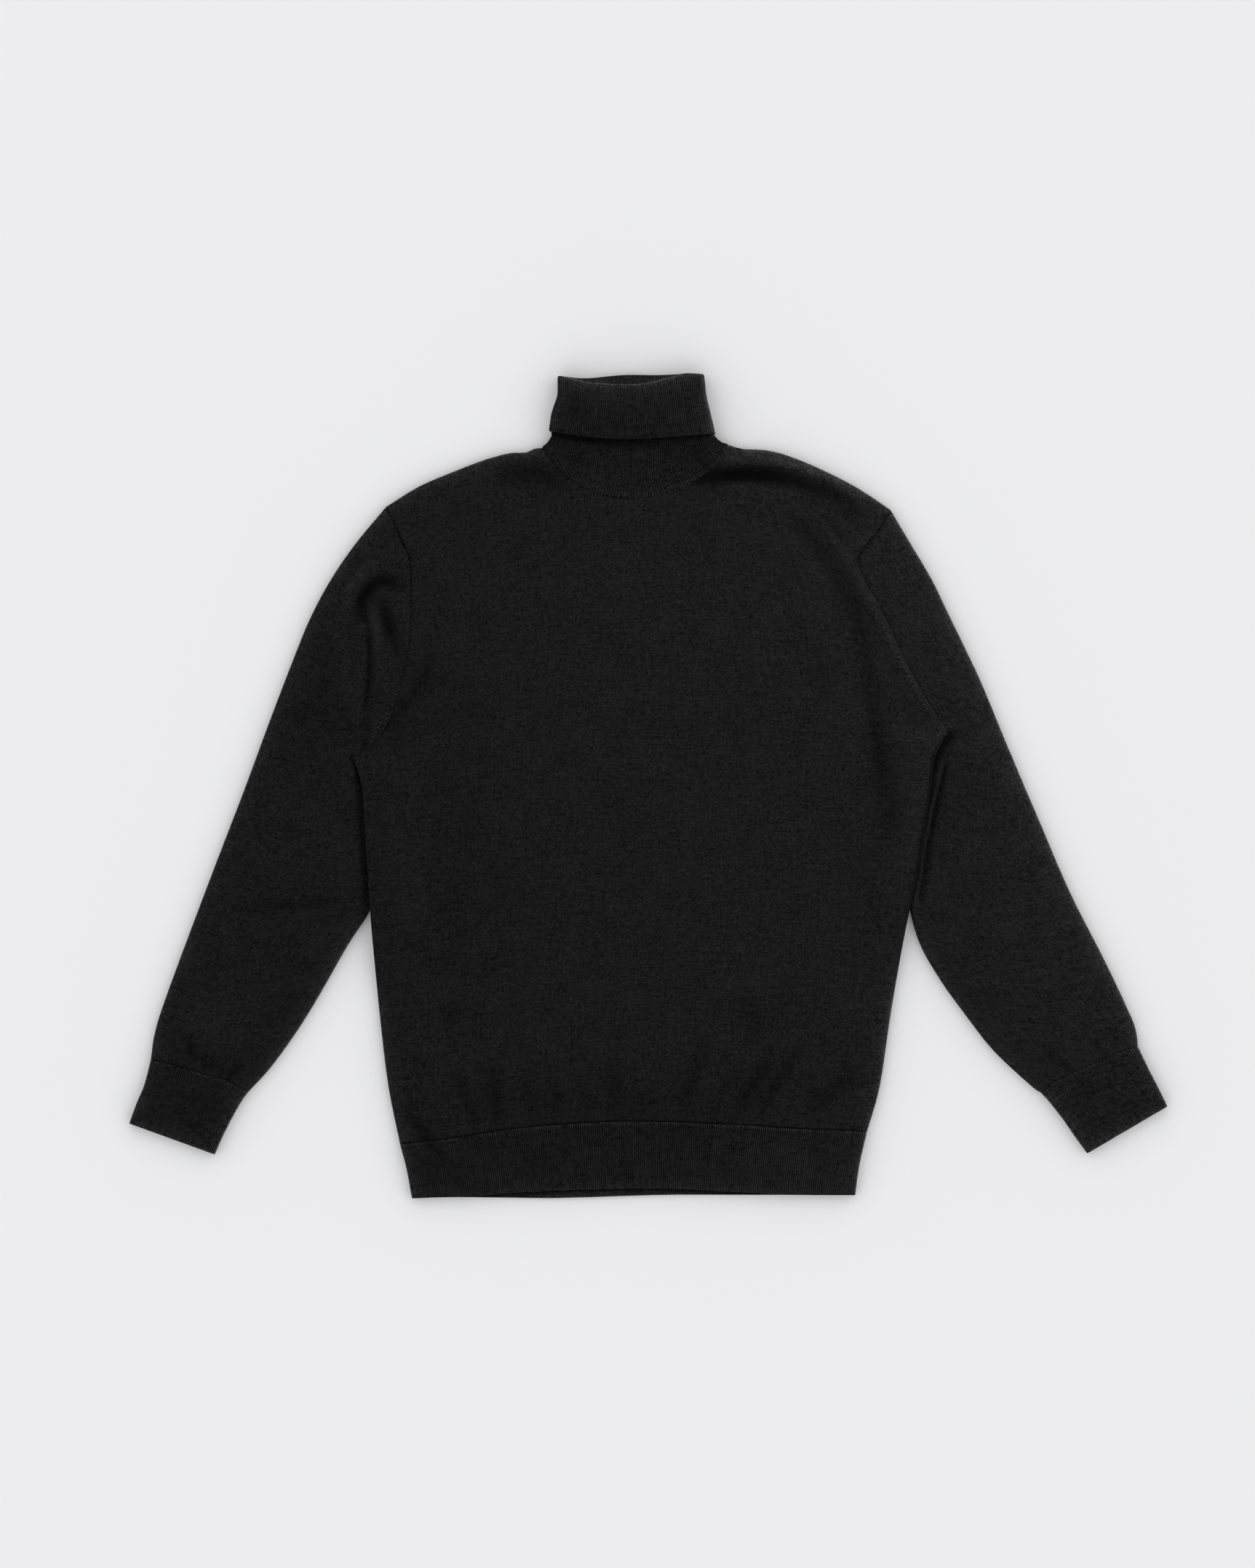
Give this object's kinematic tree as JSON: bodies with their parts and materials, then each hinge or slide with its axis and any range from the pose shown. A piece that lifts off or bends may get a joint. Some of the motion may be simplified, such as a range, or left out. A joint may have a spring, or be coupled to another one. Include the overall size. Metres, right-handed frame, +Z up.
{
  "type": "turtleneck sweater laid flat",
  "caption": "Long-sleeved fine-knit sweater laid flat, with a turned-down roll collar, set-in sleeves and ribbed collar, cuffs and hem.",
  "frame": {"origin": "middle of the garment's footprint, on the surface that it lies on", "axes": "+X across the garment from its left sleeve in the view from above to its right one, +Y from hem to collar, +Z up, out of the garment's front"},
  "size_m": [0.9696, 0.77, 0.0087],
  "materials": {
    "jersey": "fine black jersey knit, soft and matt",
    "rib": "fine black 1x1 rib knit, soft and matt"
  },
  "bodies": {
    "root": {"body_front": "jersey", "body_back": "jersey", "sleeve_left": "jersey", "sleeve_right": "jersey", "cuff_left": "rib", "cuff_right": "rib", "hem_rib_front": "rib", "hem_rib_back": "rib", "collar": "rib"}
  },
  "joints": []
}
